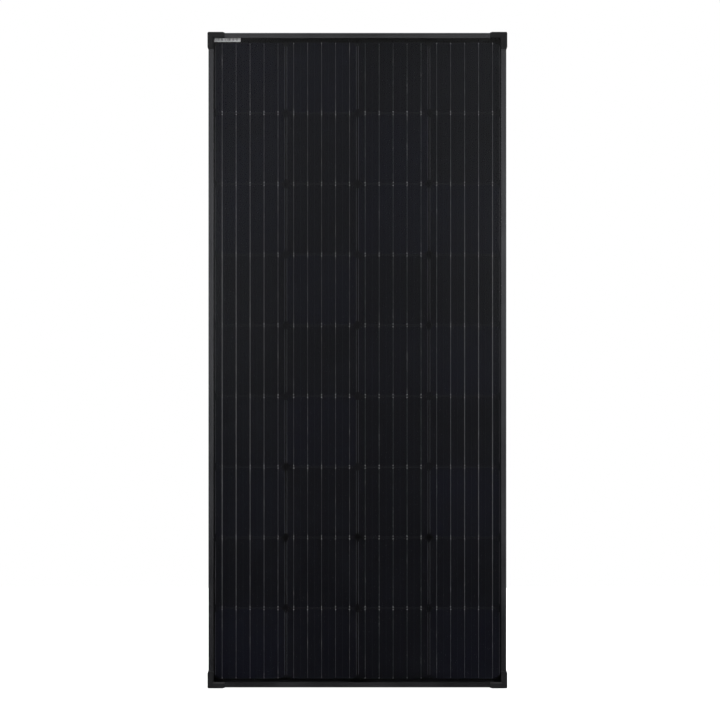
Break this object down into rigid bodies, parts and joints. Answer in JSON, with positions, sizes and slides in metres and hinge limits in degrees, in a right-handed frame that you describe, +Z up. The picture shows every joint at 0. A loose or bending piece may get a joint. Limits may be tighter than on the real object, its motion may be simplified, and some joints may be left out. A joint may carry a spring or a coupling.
{
  "type": "solar panel",
  "caption": "Framed black monocrystalline photovoltaic panel with corner caps, laminate and rear junction box; turns sunlight into direct current.",
  "frame": {"origin": "centre of the rack holes, on the rear plane of the frame's flange", "axes": "+Z up the long side towards the junction box end, +Y out of the back, -Y out of the glass, +X to the right seen from the glass side"},
  "size_m": [0.6724, 0.0386, 1.4724],
  "materials": {
    "anodised_frame": "black anodised, satin",
    "corner_key_metal": "mill finish",
    "cap_plastic": "moulded, satin",
    "solar_glass": "low-iron, anti-reflective",
    "sealant": "black silicone",
    "encapsulant": "clear film",
    "backsheet_film": "black laminated film",
    "silicon_cell": "anti-reflective coated monocrystalline silicon",
    "tinned_ribbon": "tinned copper",
    "black_bus_ribbon": "black coated copper",
    "lead_foil": "tinned copper foil",
    "label_paper": "printed label",
    "box_plastic": "black glass-filled nylon",
    "gland_plastic": "black nylon",
    "seal_rubber": "moulded rubber",
    "adhesive_foam": "silicone adhesive",
    "steel_hardware": "stainless",
    "terminal_metal": "tinned brass",
    "solder": "solder",
    "diode_epoxy": "moulded epoxy"
  },
  "bodies": {
    "panel": {"frame_rail_left": "anodised_frame", "frame_rail_right": "anodised_frame", "frame_rail_top": "anodised_frame", "frame_rail_bottom": "anodised_frame", "corner_key_top_left": "corner_key_metal", "corner_key_top_right": "corner_key_metal", "corner_key_bottom_left": "corner_key_metal", "corner_key_bottom_right": "corner_key_metal", "front_glass": "solar_glass", "edge_seal": "sealant", "front_encapsulant": "encapsulant", "rear_encapsulant": "encapsulant", "backsheet": "backsheet_film", "cell_string_1": "silicon_cell", "string_ribbons_1": "tinned_ribbon", "cell_string_2": "silicon_cell", "string_ribbons_2": "tinned_ribbon", "cell_string_3": "silicon_cell", "string_ribbons_3": "tinned_ribbon", "cell_string_4": "silicon_cell", "string_ribbons_4": "tinned_ribbon", "bus_positive": "black_bus_ribbon", "bus_middle": "black_bus_ribbon", "bus_negative": "black_bus_ribbon", "bus_lower_left": "black_bus_ribbon", "bus_lower_right": "black_bus_ribbon", "lead_positive": "lead_foil", "lead_middle": "lead_foil", "lead_negative": "lead_foil", "insulation_strip": "backsheet_film", "serial_label": "label_paper", "rating_label": "label_paper", "junction_box_base": "box_plastic", "lid_gasket": "seal_rubber", "adhesive_pad": "adhesive_foam", "lid_hinge_pins": "steel_hardware", "terminal_positive": "terminal_metal", "terminal_middle": "terminal_metal", "terminal_negative": "terminal_metal", "terminal_screws": "steel_hardware", "solder_pads": "solder", "diode_wires": "lead_foil", "bypass_diode_left": "diode_epoxy", "bypass_diode_right": "diode_epoxy", "gland_seal_left": "seal_rubber", "gland_seal_right": "seal_rubber"},
    "cap_top_left": {"corner_cap_top_left": "cap_plastic"},
    "cap_top_right": {"corner_cap_top_right": "cap_plastic"},
    "cap_bottom_left": {"corner_cap_bottom_left": "cap_plastic"},
    "cap_bottom_right": {"corner_cap_bottom_right": "cap_plastic"},
    "box_lid": {"junction_box_lid": "box_plastic"},
    "gland_ring_left": {"gland_ring_left": "gland_plastic"},
    "gland_nut_left": {"gland_nut_left": "gland_plastic"},
    "gland_ring_right": {"gland_ring_right": "gland_plastic"},
    "gland_nut_right": {"gland_nut_right": "gland_plastic"}
  },
  "joints": [
    {"name": "pull_cap_top_left", "type": "slide", "parent": "panel", "child": "cap_top_left", "axis": [-0.7071, 0, 0.7071], "range_m": [0, 0.06]},
    {"name": "pull_cap_top_right", "type": "slide", "parent": "panel", "child": "cap_top_right", "axis": [0.7071, 0, 0.7071], "range_m": [0, 0.06]},
    {"name": "pull_cap_bottom_left", "type": "slide", "parent": "panel", "child": "cap_bottom_left", "axis": [-0.7071, 0, -0.7071], "range_m": [0, 0.06]},
    {"name": "pull_cap_bottom_right", "type": "slide", "parent": "panel", "child": "cap_bottom_right", "axis": [0.7071, 0, -0.7071], "range_m": [0, 0.06]},
    {"name": "lid_hinge", "type": "hinge", "parent": "panel", "child": "box_lid", "pos_m": [0, -0.00575, 0.6915], "axis": [1, 0, 0], "range_deg": [0, 110]},
    {"name": "gland_travel_left", "type": "slide", "parent": "panel", "child": "gland_ring_left", "axis": [0, 0, -1], "range_m": [0, 0.006]},
    {"name": "gland_turn_left", "type": "hinge", "parent": "gland_ring_left", "child": "gland_nut_left", "pos_m": [-0.028, -0.016, 0.581], "axis": [0, 0, -1], "range_deg": [0, 1442]},
    {"name": "gland_travel_right", "type": "slide", "parent": "panel", "child": "gland_ring_right", "axis": [0, 0, -1], "range_m": [0, 0.006]},
    {"name": "gland_turn_right", "type": "hinge", "parent": "gland_ring_right", "child": "gland_nut_right", "pos_m": [0.028, -0.016, 0.581], "axis": [0, 0, -1], "range_deg": [0, 1442]}
  ],
  "couplings": [
    {"joint": "gland_turn_left", "follows": "gland_travel_left", "rad_per_m": 4188.8},
    {"joint": "gland_turn_right", "follows": "gland_travel_right", "rad_per_m": 4188.8}
  ]
}
